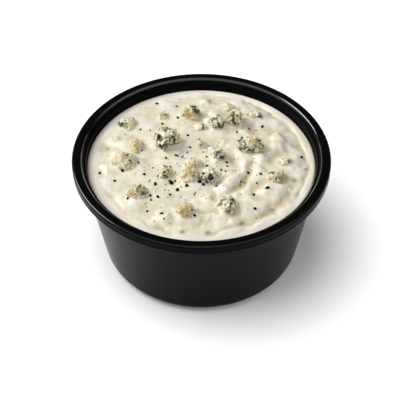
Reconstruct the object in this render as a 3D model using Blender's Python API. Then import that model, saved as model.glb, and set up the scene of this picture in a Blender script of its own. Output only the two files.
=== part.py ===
"""Portion tub of blue cheese dip: a black plastic cup, the dip that fills it, and crumbs of cheese on top.

The origin is the middle of the footprint on the table, with +Z up and -Y towards the front.
Sizes are in millimetres, and MM turns them to metres as each mesh is made.
"""
import math
import random

import bmesh
import bpy
from mathutils import Euler, Vector, noise

MM = 0.001
SEED = 7

# Cup, outside
RIM_RADIUS = 37.0
CUP_HEIGHT = 36.6
BASE_CORNER_RADIUS = 29.0
WALL_SLOPE = 0.154
BASE_ROUNDING = 5.0
WALL = 1.2
FOOT_INNER_RADIUS = 22.8
FOOT_HEIGHT = 0.8

# Rim, with the ledge inside it that takes a lid, and the skirt that hangs outside it
LEDGE_DROP = 1.5
LEDGE_WIDTH = 0.45
RIM_INNER_RADIUS = 34.5
RIM_THICKNESS = 0.9
SKIRT_DROP = 2.7
SKIRT_WALL = 0.75
SKIRT_WAIST = 0.15
SKIRT_WAIST_HEIGHT = 34.5
NECK_RADIUS = 34.65
NECK_DROP = 4.1
NECK_STEP_HEIGHT = 0.3
INNER_LIP_ROUNDING = 0.6
OUTER_LIP_ROUNDING = 0.6
EDGE_ROUNDING = 0.25
CUP_SEGMENTS = 60

# Dip
GAP = 0.3
DIP_EDGE_LEVEL = 33.3
DIP_EDGE_ROUNDING = 0.7
DOME = 0.7
FADE_WIDTH = 2.2
WAVE_HEIGHT = 0.16
WAVES = [(0.55, 0.3, 0.0), (0.2, -0.6, 1.7)]
DIP_RINGS = 24
SECTORS = 6

# The lumps of coated cheese that stand out in the dip: x, y, radius and height
LUMPS = [
    (1.0, 26.5, 1.5, 0.8),
    (4.5, 20.0, 2.0, 0.8),
    (2.0, 17.0, 1.5, 0.8),
    (-6.5, 13.0, 2.0, 0.6),
    (12.5, 11.5, 2.0, 0.7),
    (-23.0, 6.5, 2.0, 0.5),
    (6.0, 7.0, 1.5, 0.6),
    (3.0, 4.0, 1.0, 0.6),
    (-25.0, 1.5, 1.5, 0.6),
    (17.0, 0.0, 2.0, 0.7),
    (12.5, -1.0, 2.0, 0.7),
    (-25.5, -3.0, 2.0, 0.5),
    (17.5, -6.5, 1.5, 0.6),
    (7.5, -9.0, 2.0, 0.6),
    (6.5, -12.5, 1.5, 0.6),
    (18.0, -13.5, 2.0, 1.3),
    (1.5, -17.0, 2.0, 0.9),
    (-18.0, -18.0, 2.0, 0.6),
    (-11.0, -23.0, 2.0, 0.9),
]

# Smaller lumps, spread over the whole dip
SMALL_LUMPS = 26
SMALL_LUMP_LIMIT = 28.0
SMALL_LUMP_RADII = (1.2, 2.2)
SMALL_LUMP_HEIGHTS = (0.2, 0.6)
SMALL_LUMP_STRAY = 0.4
GOLDEN_ANGLE = math.pi * (3 - math.sqrt(5))

# Folds left by the spoon: height, half width, then the points that the fold runs through
FOLDS = [
    (0.8, 1.5, [(4.6, -13.4), (8.9, -10.2), (11.2, -6.0), (11.8, -2.6)]),
    (0.6, 1.5, [(12.8, -16.4), (13.5, -11.6), (14.9, -7.7), (16.4, -3.9), (18.2, -0.2), (18.9, 3.6)]),
    (1.5, 1.7, [(22.2, 9.8), (22.6, 7.0), (21.9, 4.9)]),
    (0.6, 2.2, [(21.6, -12.4), (18.6, -17.6), (13.0, -20.9)]),
    (-0.4, 0.9, [(-0.6, -20.9), (2.0, -21.2), (4.0, -21.0)]),
]

# Swirls round the cup: height, half width, start radius, end radius, start angle and end angle
SWIRLS = [
    (-0.3, 1.0, 30.0, 30.4, 65.0, -27.0),
    (-0.35, 1.1, 27.4, 28.4, -26.0, -84.0),
    (0.25, 1.6, 26.4, 27.2, 60.0, -14.0),
    (-0.2, 0.8, 29.0, 29.6, 190.0, 250.0),
]
SWIRL_STEP = 6.0

# Cheese crumbs, from the back to the front: x, y, width, depth and height above the dip, and the tint
CRUMBS = [
    (8.0, 23.0, 3.5, 2.5, 1.5, "pale"),
    (-11.5, 19.5, 3.0, 2.5, 1.5, "pale"),
    (16.0, 19.5, 4.5, 3.0, 1.5, "veined"),
    (-3.0, 19.5, 6.0, 4.5, 3.0, "veined"),
    (10.0, 16.0, 5.0, 6.0, 4.0, "veined"),
    (-22.0, 15.5, 5.5, 4.5, 2.0, "veined"),
    (4.5, 15.0, 5.0, 6.0, 3.5, "veined"),
    (-0.5, 13.5, 4.0, 3.0, 1.5, "veined"),
    (-10.5, 7.0, 8.0, 7.0, 4.0, "veined"),
    (0.0, 5.5, 3.0, 2.5, 1.5, "pale"),
    (-19.0, 5.0, 4.0, 5.5, 2.0, "pale"),
    (14.0, 4.5, 8.0, 6.5, 3.5, "veined"),
    (5.0, 0.5, 4.5, 3.5, 2.5, "veined"),
    (-22.0, -1.5, 7.0, 5.5, 2.5, "pale"),
    (24.0, -1.5, 4.0, 3.0, 1.5, "veined"),
    (-2.5, -2.5, 4.5, 3.5, 1.5, "pale"),
    (-10.0, -6.0, 4.5, 4.5, 2.0, "veined"),
    (-3.5, -7.5, 5.5, 5.0, 3.0, "pale"),
    (21.0, -7.5, 5.5, 4.5, 2.5, "veined"),
    (2.0, -8.0, 4.5, 5.5, 3.0, "veined"),
    (-17.5, -14.0, 6.0, 4.5, 2.5, "pale"),
    (7.0, -19.0, 5.5, 6.5, 3.0, "veined"),
    (-4.5, -21.5, 5.0, 4.0, 2.5, "pale"),
]
CRUMB_SINK = 0.5
SHOULDER_RISE = 0.2
SHOULDER_REACH = 0.7
CRUMB_LOBES = 7
CORE_RADIUS = 0.55
LOBE_RADIUS = 0.5
LOBE_OFFSET = 0.42
LOBE_RISE = (-0.1, 0.9)
CURD_COUNT = 2.4
CURD_DEPTH = 0.34
PATTERN_REACH = 50.0
FACES_PER_CRUMB_AREA = 5.6
LEAST_CRUMB_FACES = 110

# Cracked pepper on the dip: the largest flecks by place (x, y, width), then a scatter
LARGE_FLECKS = [
    (-8.4, -10.8, 1.3),
    (-12.9, -10.4, 1.0),
    (-6.7, -12.6, 1.0),
    (-22.4, -4.8, 0.9),
    (-10.8, -22.0, 1.0),
    (-16.2, -6.3, 0.8),
    (-7.4, 18.0, 0.9),
    (18.1, 14.3, 0.9),
    (14.6, -20.0, 0.9),
    (18.4, -12.0, 1.3),
    (13.2, -5.7, 0.8),
    (28.8, 0.8, 0.7),
]
SCATTERED_FLECKS = 44
SCATTER_SPREAD = (11.0, 13.0)
SCATTER_MIDDLE = (-5.0, -3.0)
FLECK_WIDTHS = (0.55, 0.85)
FLECK_CUBE = 0.72
FLECK_FLATNESS = 0.7
FLECK_UNEVENNESS = (0.8, 1.15)
FLECK_CLEARANCE = 0.9
FLECK_LIMIT = 29.0
SLIVER = 0.02


def material(name, colour, roughness):
    """A plain surface: linear colour and roughness."""
    finish = bpy.data.materials.new(name)
    finish.use_nodes = True
    shader = finish.node_tree.nodes["Principled BSDF"]
    shader.inputs["Base Color"].default_value = (*colour, 1.0)
    shader.inputs["Roughness"].default_value = roughness
    shader.inputs["Metallic"].default_value = 0.0
    finish.diffuse_color = (*colour, 1.0)
    return finish


def add_object(name, mesh, finish):
    """Puts a mesh in the scene under the given name, with its finish."""
    piece = bpy.data.objects.new(name, mesh)
    bpy.context.collection.objects.link(piece)
    mesh.materials.append(finish)
    return piece


def rounded(corners):
    """Turns (radius, height, rounding, steps) corners into an outline whose rounded corners are arcs."""
    outline = []
    for i, (radius, height, rounding, steps) in enumerate(corners):
        here = Vector((radius, height))
        if rounding == 0:
            outline.append(here)
            continue
        to_last = (Vector(corners[i - 1][:2]) - here).normalized()
        to_next = (Vector(corners[i + 1][:2]) - here).normalized()
        half_angle = to_last.angle(to_next) / 2
        centre = here + (to_last + to_next).normalized() * rounding / math.sin(half_angle)
        start = here + to_last * rounding / math.tan(half_angle) - centre
        sweep = start.angle_signed(here + to_next * rounding / math.tan(half_angle) - centre)
        for step in range(steps + 1):
            angle = -sweep * step / steps
            turned = Vector((start.x * math.cos(angle) - start.y * math.sin(angle),
                             start.x * math.sin(angle) + start.y * math.cos(angle)))
            outline.append(centre + turned)
    return outline


def outer_wall_radius(height):
    """Radius of the cup's outer wall, which widens evenly upwards."""
    return BASE_CORNER_RADIUS + WALL_SLOPE * height


def inner_wall_radius(height):
    """Radius of the cup's inner wall."""
    return outer_wall_radius(height) - WALL * math.hypot(1, WALL_SLOPE)


def make_cup(finish):
    """The cup, turned from one outline: inside from the floor up, over the rim, down the outside."""
    floor = FOOT_HEIGHT + WALL
    ledge = CUP_HEIGHT - LEDGE_DROP
    ledge_inner = inner_wall_radius(ledge)
    skirt_bottom = CUP_HEIGHT - SKIRT_DROP
    skirt_inner = RIM_RADIUS - SKIRT_WALL
    rim_underside = CUP_HEIGHT - RIM_THICKNESS
    neck_bottom = CUP_HEIGHT - NECK_DROP
    neck_foot = neck_bottom - NECK_STEP_HEIGHT
    outline = rounded([
        (0, floor, 0, 0),
        (inner_wall_radius(floor), floor, BASE_ROUNDING - WALL, 3),
        (ledge_inner, ledge, EDGE_ROUNDING, 1),
        (ledge_inner + LEDGE_WIDTH, ledge, 0, 0),
        (RIM_INNER_RADIUS, CUP_HEIGHT, INNER_LIP_ROUNDING, 2),
        (RIM_RADIUS, CUP_HEIGHT, OUTER_LIP_ROUNDING, 3),
        (RIM_RADIUS - SKIRT_WAIST, SKIRT_WAIST_HEIGHT, 0, 0),
        (RIM_RADIUS, skirt_bottom, 0, 0),
        (skirt_inner, skirt_bottom, 0, 0),
        (skirt_inner - SKIRT_WAIST, rim_underside, 0, 0),
        (NECK_RADIUS, rim_underside, 0, 0),
        (NECK_RADIUS, neck_bottom, EDGE_ROUNDING, 1),
        (outer_wall_radius(neck_foot), neck_foot, 0, 0),
        (BASE_CORNER_RADIUS, 0, BASE_ROUNDING, 4),
        (FOOT_INNER_RADIUS, 0, 0, 0),
        (FOOT_INNER_RADIUS - FOOT_HEIGHT, FOOT_HEIGHT, 0, 0),
        (0, FOOT_HEIGHT, 0, 0),
    ])
    mesh = bpy.data.meshes.new("cup")
    points = [(p.x * MM, 0, p.y * MM) for p in outline]
    mesh.from_pydata(points, [(i, i + 1) for i in range(len(points) - 1)], [])
    cup = add_object("cup", mesh, finish)
    turn = cup.modifiers.new("turned", "SCREW")
    turn.steps = CUP_SEGMENTS
    turn.render_steps = CUP_SEGMENTS
    turn.use_merge_vertices = True
    turn.merge_threshold = 0.01 * MM
    turn.use_smooth_shade = True


def distance_to_line(x, y, points):
    """Shortest distance from a place to a line through the points."""
    nearest = math.inf
    for (x0, y0), (x1, y1) in zip(points, points[1:]):
        along_x, along_y = x1 - x0, y1 - y0
        share = ((x - x0) * along_x + (y - y0) * along_y) / (along_x ** 2 + along_y ** 2)
        share = min(max(share, 0), 1)
        nearest = min(nearest, math.hypot(x - x0 - share * along_x, y - y0 - share * along_y))
    return nearest


def swirl_points(start_radius, end_radius, start_angle, end_angle):
    """Points along a stretch of spiral, one for each few degrees."""
    steps = round(abs(end_angle - start_angle) / SWIRL_STEP)
    points = []
    for i in range(steps + 1):
        radius = start_radius + (end_radius - start_radius) * i / steps
        angle = math.radians(start_angle + (end_angle - start_angle) * i / steps)
        points.append((radius * math.cos(angle), radius * math.sin(angle)))
    return points


def all_folds():
    """The folds and the swirls as one list of height, half width and points."""
    swirls = [(swirl[0], swirl[1], swirl_points(*swirl[2:])) for swirl in SWIRLS]
    return FOLDS + swirls


def small_lumps():
    """The smaller lumps, spread evenly like the seeds of a sunflower, each a little astray."""
    draw = random.Random(SEED)
    lumps = []
    for i in range(SMALL_LUMPS):
        reach = SMALL_LUMP_LIMIT * math.sqrt((i + 0.5) / SMALL_LUMPS)
        angle = i * GOLDEN_ANGLE + draw.uniform(-SMALL_LUMP_STRAY, SMALL_LUMP_STRAY)
        radius = draw.uniform(*SMALL_LUMP_RADII)
        height = draw.uniform(*SMALL_LUMP_HEIGHTS)
        lumps.append((reach * math.cos(angle), reach * math.sin(angle), radius, height))
    return lumps


def dip_level(x, y, forms, edge_radius):
    """Height of the dip's surface: a low dome with folds, lumps and a shoulder round each crumb."""
    folds, lumps = forms
    radius = math.hypot(x, y)
    relief = WAVE_HEIGHT * sum(math.sin(ax * x + ay * y + start) for ax, ay, start in WAVES)
    for height, half_width, points in folds:
        relief += height * math.exp(-(distance_to_line(x, y, points) / half_width) ** 2)
    for lump_x, lump_y, lump_radius, height in lumps:
        relief += height * math.exp(-((x - lump_x) ** 2 + (y - lump_y) ** 2) / lump_radius ** 2)
    for crumb_x, crumb_y, width, depth, height, _ in CRUMBS:
        spread = ((x - crumb_x) / width) ** 2 + ((y - crumb_y) / depth) ** 2
        relief += SHOULDER_RISE * height * math.exp(-spread / SHOULDER_REACH ** 2)
    fade = min(max((edge_radius - radius) / FADE_WIDTH, 0), 1)
    fade = fade * fade * (3 - 2 * fade)
    dome = DOME * (1 - (radius / edge_radius) ** 2)
    return DIP_EDGE_LEVEL + dome + relief * fade


def disc_rings(count, radius):
    """Rings of 6, 12, 18 and more places round a middle, so that the triangles between them are even."""
    rings = [[(0.0, 0.0)]]
    for ring in range(1, count + 1):
        places = SECTORS * ring
        reach = radius * ring / count
        turn = math.tau / places
        rings.append([(reach * math.cos(turn * i), reach * math.sin(turn * i)) for i in range(places)])
    return rings


def join_rings(bm, inner, outer):
    """Fills the band between one ring of a disc and the next with triangles."""
    inner_side, outer_side = len(inner) // SECTORS, len(outer) // SECTORS
    for sector in range(SECTORS):
        for i in range(outer_side):
            first = outer[sector * outer_side + i]
            second = outer[(sector * outer_side + i + 1) % len(outer)]
            below = inner[(sector * inner_side + i) % len(inner)]
            bm.faces.new((first, second, below))
        for i in range(inner_side):
            first = inner[sector * inner_side + i]
            second = inner[(sector * inner_side + i + 1) % len(inner)]
            above = outer[sector * outer_side + i + 1]
            bm.faces.new((first, above, second))


def make_dip(forms, finish):
    """The dip: its folded surface, then its side and bottom, a gap clear of the cup."""
    floor = FOOT_HEIGHT + WALL + GAP
    side = rounded([
        (0, DIP_EDGE_LEVEL, 0, 0),
        (inner_wall_radius(DIP_EDGE_LEVEL) - GAP, DIP_EDGE_LEVEL, DIP_EDGE_ROUNDING, 2),
        (inner_wall_radius(floor) - GAP, floor, BASE_ROUNDING - WALL, 2),
        (0, floor, 0, 0),
    ])
    edge_radius = side[1].x
    bm = bmesh.new()
    last = None
    for ring in disc_rings(DIP_RINGS, edge_radius):
        verts = [bm.verts.new((x * MM, y * MM, dip_level(x, y, forms, edge_radius) * MM)) for x, y in ring]
        if last:
            join_rings(bm, last, verts)
        last = verts
    turn = math.tau / len(last)
    for point in side[2:-1]:
        verts = []
        for i in range(len(last)):
            place = Vector((point.x * math.cos(turn * i), point.x * math.sin(turn * i), point.y))
            verts.append(bm.verts.new(place * MM))
        for i in range(len(last)):
            after = (i + 1) % len(last)
            bm.faces.new((last[i], verts[i], verts[after], last[after]))
        last = verts
    bm.faces.new(reversed(last))
    mesh = bpy.data.meshes.new("dip")
    bm.to_mesh(mesh)
    bm.free()
    mesh.shade_smooth()
    return add_object("dip", mesh, finish), edge_radius


def fleck_places(draw):
    """Where the pepper lies: the large flecks, then a scatter that keeps clear of crumbs and flecks."""
    places = list(LARGE_FLECKS)
    while len(places) < len(LARGE_FLECKS) + SCATTERED_FLECKS:
        x = draw.gauss(SCATTER_MIDDLE[0], SCATTER_SPREAD[0])
        y = draw.gauss(SCATTER_MIDDLE[1], SCATTER_SPREAD[1])
        width = draw.uniform(*FLECK_WIDTHS)
        clear = clear_of_flecks(x, y, width, places) and clear_of_crumbs(x, y, width)
        if clear and math.hypot(x, y) < FLECK_LIMIT:
            places.append((x, y, width))
    return places


def clear_of_flecks(x, y, width, places):
    """Whether a fleck of this width lies beside every fleck that has its place."""
    return all(math.hypot(x - px, y - py) > (width + other) * FLECK_CLEARANCE for px, py, other in places)


def clear_of_crumbs(x, y, width):
    """Whether a fleck of this width lies beside every crumb and not under one."""
    for crumb_x, crumb_y, across, deep, _, _ in CRUMBS:
        reach = FLECK_CLEARANCE + width / 2
        if ((x - crumb_x) / (across / 2 + reach)) ** 2 + ((y - crumb_y) / (deep / 2 + reach)) ** 2 < 1:
            return False
    return True


def scatter_pepper(dip, forms, edge_radius, draw):
    """Fuses chips of cracked pepper to the dip with one union."""
    chips = bpy.data.collections.new("pepper")
    bpy.context.scene.collection.children.link(chips)
    for x, y, width in fleck_places(draw):
        bm = bmesh.new()
        bmesh.ops.create_cube(bm, size=width * FLECK_CUBE)
        tumble = Euler([draw.uniform(0, math.tau) for _ in range(3)])
        for vert in bm.verts:
            vert.co.rotate(tumble)
            vert.co *= draw.uniform(*FLECK_UNEVENNESS)
            vert.co.z = vert.co.z * FLECK_FLATNESS + dip_level(x, y, forms, edge_radius)
            vert.co.x += x
            vert.co.y += y
            vert.co *= MM
        mesh = bpy.data.meshes.new("chip")
        bm.to_mesh(mesh)
        bm.free()
        chips.objects.link(bpy.data.objects.new("chip", mesh))
    union = dip.modifiers.new("pepper", "BOOLEAN")
    union.operation = "UNION"
    union.operand_type = "COLLECTION"
    union.collection = chips
    bpy.context.view_layer.objects.active = dip
    bpy.ops.object.modifier_apply(modifier=union.name)
    for chip in list(chips.objects):
        bpy.data.objects.remove(chip)
    bpy.data.collections.remove(chips)
    drop_slivers(dip.data)


def drop_slivers(mesh):
    """Closes up the tiny faces and edges that a union leaves."""
    bm = bmesh.new()
    bm.from_mesh(mesh)
    bmesh.ops.triangulate(bm, faces=[face for face in bm.faces if len(face.verts) > 3])
    bmesh.ops.dissolve_degenerate(bm, dist=SLIVER * MM, edges=bm.edges)
    bm.to_mesh(mesh)
    bm.free()


def lobe_reach(direction, lobes):
    """How far a ray from the middle runs before it leaves the furthest of the lobes."""
    furthest = 0
    for centre, radius in lobes:
        along = direction.dot(centre)
        furthest = max(furthest, along + math.sqrt(along ** 2 - centre.length_squared + radius ** 2))
    return furthest


def make_crumb(name, place, forms, edge_radius, finish, draw):
    """A crumb of cheese: a cluster of lobes, knobbly with curds, cut to lie a gap above the dip."""
    x, y, width, depth, height, _ = place
    lobes = [(Vector((0, 0, 0)), CORE_RADIUS)]
    for _ in range(CRUMB_LOBES):
        turn = draw.uniform(0, math.tau)
        towards = Vector((math.cos(turn), math.sin(turn), draw.uniform(*LOBE_RISE))).normalized()
        lobes.append((towards * LOBE_OFFSET, LOBE_RADIUS))
    pattern_start = Vector([draw.uniform(0, PATTERN_REACH) for _ in range(3)])
    bm = bmesh.new()
    bmesh.ops.create_icosphere(bm, subdivisions=4, radius=1)
    for vert in bm.verts:
        direction = vert.co.normalized()
        to_nearest_curd = noise.voronoi(direction * CURD_COUNT + pattern_start)[0][0]
        vert.co = direction * (lobe_reach(direction, lobes) - CURD_DEPTH * to_nearest_curd)
    low = Vector([min(vert.co[axis] for vert in bm.verts) for axis in range(3)])
    high = Vector([max(vert.co[axis] for vert in bm.verts) for axis in range(3)])
    level = dip_level(x, y, forms, edge_radius)
    for vert in bm.verts:
        share = [(vert.co[axis] - low[axis]) / (high[axis] - low[axis]) for axis in range(3)]
        across = x + (share[0] - 0.5) * width
        along = y + (share[1] - 0.5) * depth
        up = level + height * (share[2] * (1 + CRUMB_SINK) - CRUMB_SINK)
        up = max(up, dip_level(across, along, forms, edge_radius) + GAP)
        vert.co = Vector((across, along, up)) * MM
    mesh = bpy.data.meshes.new(name)
    bm.to_mesh(mesh)
    faces = len(bm.faces)
    bm.free()
    mesh.shade_smooth()
    crumb = add_object(name, mesh, finish)
    fewer = crumb.modifiers.new("fewer faces", "DECIMATE")
    fewer.ratio = max(LEAST_CRUMB_FACES, FACES_PER_CRUMB_AREA * width * depth) / faces


def main():
    for leftover in list(bpy.data.objects):
        bpy.data.objects.remove(leftover)
    draw = random.Random(SEED)
    black = material("black polypropylene", (0.010, 0.010, 0.011), 0.32)
    cream = material("blue cheese dip", (0.82, 0.76, 0.62), 0.42)
    tints = {
        "pale": material("pale cheese", (0.66, 0.55, 0.33), 0.6),
        "veined": material("blue veined cheese", (0.36, 0.40, 0.34), 0.6),
    }
    forms = (all_folds(), LUMPS + small_lumps())
    make_cup(black)
    dip, edge_radius = make_dip(forms, cream)
    scatter_pepper(dip, forms, edge_radius, draw)
    for number, place in enumerate(CRUMBS, start=1):
        make_crumb(f"crumb_{number:02d}", place, forms, edge_radius, tints[place[-1]], draw)


main()
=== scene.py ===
# %% [markdown]
# A portion tub of blue cheese dip, dressed as in a studio photograph. A turned black plastic tub holds the
# cream coloured dip, and crumbled blue cheese and cracked black pepper lie on top. The imported model gives
# every size and place, so the first step loads it.

# %% Load the imported model
import math
import random

import bpy
import numpy as np
from mathutils import Euler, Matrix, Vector, noise
from mathutils.bvhtree import BVHTree


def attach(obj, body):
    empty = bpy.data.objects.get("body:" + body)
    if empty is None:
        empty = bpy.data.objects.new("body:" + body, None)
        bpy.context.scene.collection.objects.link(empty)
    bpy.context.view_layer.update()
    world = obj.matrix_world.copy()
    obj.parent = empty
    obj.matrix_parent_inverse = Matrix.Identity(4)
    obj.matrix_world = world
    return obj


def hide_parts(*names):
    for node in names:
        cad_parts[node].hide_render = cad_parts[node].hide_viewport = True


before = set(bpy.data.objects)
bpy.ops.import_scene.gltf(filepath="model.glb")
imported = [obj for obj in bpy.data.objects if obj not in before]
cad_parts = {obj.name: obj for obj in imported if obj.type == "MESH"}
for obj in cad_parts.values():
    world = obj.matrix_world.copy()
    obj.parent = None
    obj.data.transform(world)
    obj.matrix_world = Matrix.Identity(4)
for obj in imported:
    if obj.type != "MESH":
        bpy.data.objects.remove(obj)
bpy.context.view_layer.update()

MM = 0.001
bpy.ops.object.select_all(action="DESELECT")

# %% [markdown]
# Four helpers serve every material below. Colours are picked as sRGB hex values, as a colour picker shows
# them, and one function turns them to the linear values that shaders work with. A second one adds a node
# with its settings and links, so that each material reads as a short list of what feeds what. The last one
# mixes two colours, because most of the marks on this food are one colour laid over another.

# %% Helpers for colours and materials
def linear(hex_colour):
    """Turns an sRGB colour such as #ebe4d0 into linear red, green, blue and alpha."""
    levels = [int(hex_colour[i:i + 2], 16) / 255 for i in (1, 3, 5)]
    return [v / 12.92 if v <= 0.04045 else ((v + 0.055) / 1.055) ** 2.4 for v in levels] + [1.0]


def add_node(tree, kind, settings=None, **values):
    """Adds a node; each value is a number, a colour or the output socket that feeds the named input."""
    node = tree.nodes.new(kind)
    for name, value in (settings or {}).items():
        setattr(node, name, value)
    for name, value in values.items():
        label = name.replace("_", " ")
        socket = node.inputs[int(label[1:])] if label[1:].isdigit() else node.inputs[label]
        if isinstance(value, bpy.types.NodeSocket):
            tree.links.new(value, socket)
        else:
            socket.default_value = value
    return node


def new_material(name):
    """A material with only its output, and the node tree to fill."""
    material = bpy.data.materials.new(name)
    material.use_nodes = True
    material.node_tree.nodes.clear()
    return material, material.node_tree


def blend(tree, amount, first, second):
    """Mixes two colours by an amount from 0 to 1, and returns the output socket."""
    mix = add_node(tree, "ShaderNodeMix", {"data_type": "RGBA"}, Factor=amount, i6=first, i7=second)
    return mix.outputs[2]


print("middle grey, #808080, is", round(linear("#808080")[0], 3), "in linear light")

# %% [markdown]
# The photograph looks down on the tub at about 45 degrees through a long lens. The place, the lens and the
# small sideways shift below come from matching the ellipses of the rim, the dip's edge and the base in the
# picture.

# %% Camera
IMAGE_WIDTH = 400
CAMERA_ELEVATION = math.radians(44.68)
CAMERA_DISTANCE = 0.296
LENS = 89.03
SENSOR_WIDTH = 36.0
AIM_HEIGHT = 0.0174
SHIFT_IN_PIXELS = -1.42

camera_data = bpy.data.cameras.new("camera")
camera_data.lens = LENS
camera_data.sensor_width = SENSOR_WIDTH
camera_data.shift_x = SHIFT_IN_PIXELS / IMAGE_WIDTH
camera = bpy.data.objects.new("camera", camera_data)
bpy.context.scene.collection.objects.link(camera)
camera.location = (0, -CAMERA_DISTANCE * math.cos(CAMERA_ELEVATION),
                   AIM_HEIGHT + CAMERA_DISTANCE * math.sin(CAMERA_ELEVATION))
camera.rotation_euler = (math.pi / 2 - CAMERA_ELEVATION, 0, 0)
bpy.context.scene.camera = camera
print("camera at", tuple(round(v, 4) for v in camera.location))

# %% [markdown]
# The picture is lit by a softbox on the left and a little behind, which gives the thin bright lines on the
# rim and the shaded edge of the dip beside the left wall. The rest is pale fill from the room. The fill is
# darker high up behind the tub, because the flat top of the rim mirrors that part and is nearly black in
# the picture. The white floor has a wash light of its own from above, as such pictures do, so its shadow is
# short and soft.

# %% Light
FILL_STRENGTH = 0.88
FILL_BEHIND = 0.015
FILL_FADE = (-0.15, 0.45)
KEY_PLACE = (-1.05, 0.42, 0.90)
KEY_SIZE = 0.95
KEY_POWER = 22.0
WASH_PLACE = (-0.50, 0.06, 1.40)
WASH_SIZE = 1.50
WASH_POWER = 26.0


def add_softbox(name, place, size, power):
    """Adds a round softbox that faces the tub."""
    data = bpy.data.lights.new(name, "AREA")
    data.shape = "DISK"
    data.size = size
    data.energy = power
    lamp = bpy.data.objects.new(name, data)
    bpy.context.scene.collection.objects.link(lamp)
    lamp.location = place
    lamp.rotation_euler = Vector(place).to_track_quat("Z", "Y").to_euler()
    return lamp


key = add_softbox("key", KEY_PLACE, KEY_SIZE, KEY_POWER)
wash = add_softbox("floor wash", WASH_PLACE, WASH_SIZE, WASH_POWER)

room = bpy.data.worlds.new("room")
room.use_nodes = True
tree = room.node_tree
tree.nodes.clear()
way = add_node(tree, "ShaderNodeTexCoord").outputs["Generated"]
parts = add_node(tree, "ShaderNodeSeparateXYZ", Vector=way)
behind = add_node(tree, "ShaderNodeMapRange", {"interpolation_type": "SMOOTHSTEP"}, Value=parts.outputs["Y"],
                  From_Min=FILL_FADE[0], From_Max=FILL_FADE[1], To_Min=FILL_STRENGTH, To_Max=FILL_BEHIND)
glow = add_node(tree, "ShaderNodeBackground", Color=(1, 1, 1, 1), Strength=behind.outputs["Result"])
add_node(tree, "ShaderNodeOutputWorld", Surface=glow.outputs["Background"])
bpy.context.scene.world = room
bpy.context.scene.view_settings.view_transform = "Standard"
print("the key's softbox is", round(key.location.length, 2), "m away and", KEY_SIZE, "m across")

# %% [markdown]
# The floor is a plain white sweep. It is only the stage and isn't part of the object. A flat disc is enough,
# as its edge is out of sight. Each softbox is told what it may light, so that the floor's shadow and the
# light on the food can be set apart.

# %% Floor
FLOOR_RADIUS = 3.0

white_board, tree = new_material("white matt board")
board = add_node(tree, "ShaderNodeBsdfDiffuse", Color=linear("#f6f6f6"))
add_node(tree, "ShaderNodeOutputMaterial", Surface=board.outputs["BSDF"])

bpy.ops.mesh.primitive_circle_add(vertices=64, radius=FLOOR_RADIUS, fill_type="NGON")
floor = bpy.context.object
floor.name = "floor"
floor.data.materials.append(white_board)

lit_by_wash = bpy.data.collections.new("lit by the wash")
lit_by_wash.objects.link(floor)
wash.light_linking.receiver_collection = lit_by_wash
not_lit_by_key = bpy.data.collections.new("not lit by the key")
not_lit_by_key.objects.link(floor)
not_lit_by_key.collection_objects[0].light_linking.link_state = "EXCLUDE"
key.light_linking.receiver_collection = not_lit_by_key
print("the floor is", 2 * FLOOR_RADIUS, "m across")

# %% [markdown]
# Every new piece is handed over in the same way: it gets its material, it rides on the body "root", and the
# imported nodes that it stands for are hidden.

# %% Helper that hands a piece over
def hand_over(piece, name, material, slot, *nodes):
    """Names a finished piece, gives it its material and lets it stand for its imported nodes."""
    piece.name = name
    piece.data.name = name
    piece.data.materials.clear()
    piece.data.materials.append(material)
    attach(piece, "root")
    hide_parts(*nodes)
    print(name, "has", len(piece.data.vertices), "points and", len(piece.data.polygons), "faces")


def active_piece(piece):
    """Makes a piece the only selected one and the active one."""
    bpy.ops.object.select_all(action="DESELECT")
    piece.select_set(True)
    bpy.context.view_layer.objects.active = piece


# %% [markdown]
# The tub is one wall of black polypropylene, pressed over a mould. Its section is a short list of corners,
# and the rounded ones become arcs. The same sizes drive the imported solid, which has fewer steps in each
# arc.

# %% Section of the tub
RIM_RADIUS = 37.0
CUP_HEIGHT = 36.6
BASE_CORNER_RADIUS = 29.0
WALL_SLOPE = 0.154
BASE_ROUNDING = 5.0
WALL = 1.2
RIM_THICKNESS = 0.9
FOOT_INNER_RADIUS = 22.8
FOOT_HEIGHT = 0.8
LEDGE_DROP = 1.5
LEDGE_WIDTH = 0.45
RIM_INNER_RADIUS = 34.5
SKIRT_DROP = 2.7
SKIRT_WALL = 0.75
SKIRT_WAIST = 0.15
NECK_RADIUS = 34.65
NECK_DROP = 4.1
NECK_STEP_HEIGHT = 0.3
INNER_LIP_ROUNDING = 0.6
OUTER_LIP_ROUNDING = 0.6
SKIRT_WAIST_HEIGHT = 34.5
EDGE_ROUNDING = 0.25
SMALL_ROUNDING = 0.2


def outer_wall_radius(height):
    """Radius of the tub's outer wall, which widens evenly upwards."""
    return BASE_CORNER_RADIUS + WALL_SLOPE * height


def inner_wall_radius(height):
    """Radius of the tub's inner wall."""
    return outer_wall_radius(height) - WALL * math.hypot(1, WALL_SLOPE)


def rounded(corners):
    """Turns (radius, height, rounding, steps) corners into an outline whose rounded corners are arcs."""
    outline = []
    for i, (radius, height, rounding, steps) in enumerate(corners):
        here = Vector((radius, height))
        if rounding == 0:
            outline.append(here)
            continue
        to_last = (Vector(corners[i - 1][:2]) - here).normalized()
        to_next = (Vector(corners[i + 1][:2]) - here).normalized()
        half_angle = to_last.angle(to_next) / 2
        centre = here + (to_last + to_next).normalized() * rounding / math.sin(half_angle)
        start = here + to_last * rounding / math.tan(half_angle) - centre
        sweep = start.angle_signed(here + to_next * rounding / math.tan(half_angle) - centre)
        for step in range(steps + 1):
            angle = -sweep * step / steps
            turned = Vector((start.x * math.cos(angle) - start.y * math.sin(angle),
                             start.x * math.sin(angle) + start.y * math.cos(angle)))
            outline.append(centre + turned)
    return outline


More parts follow.
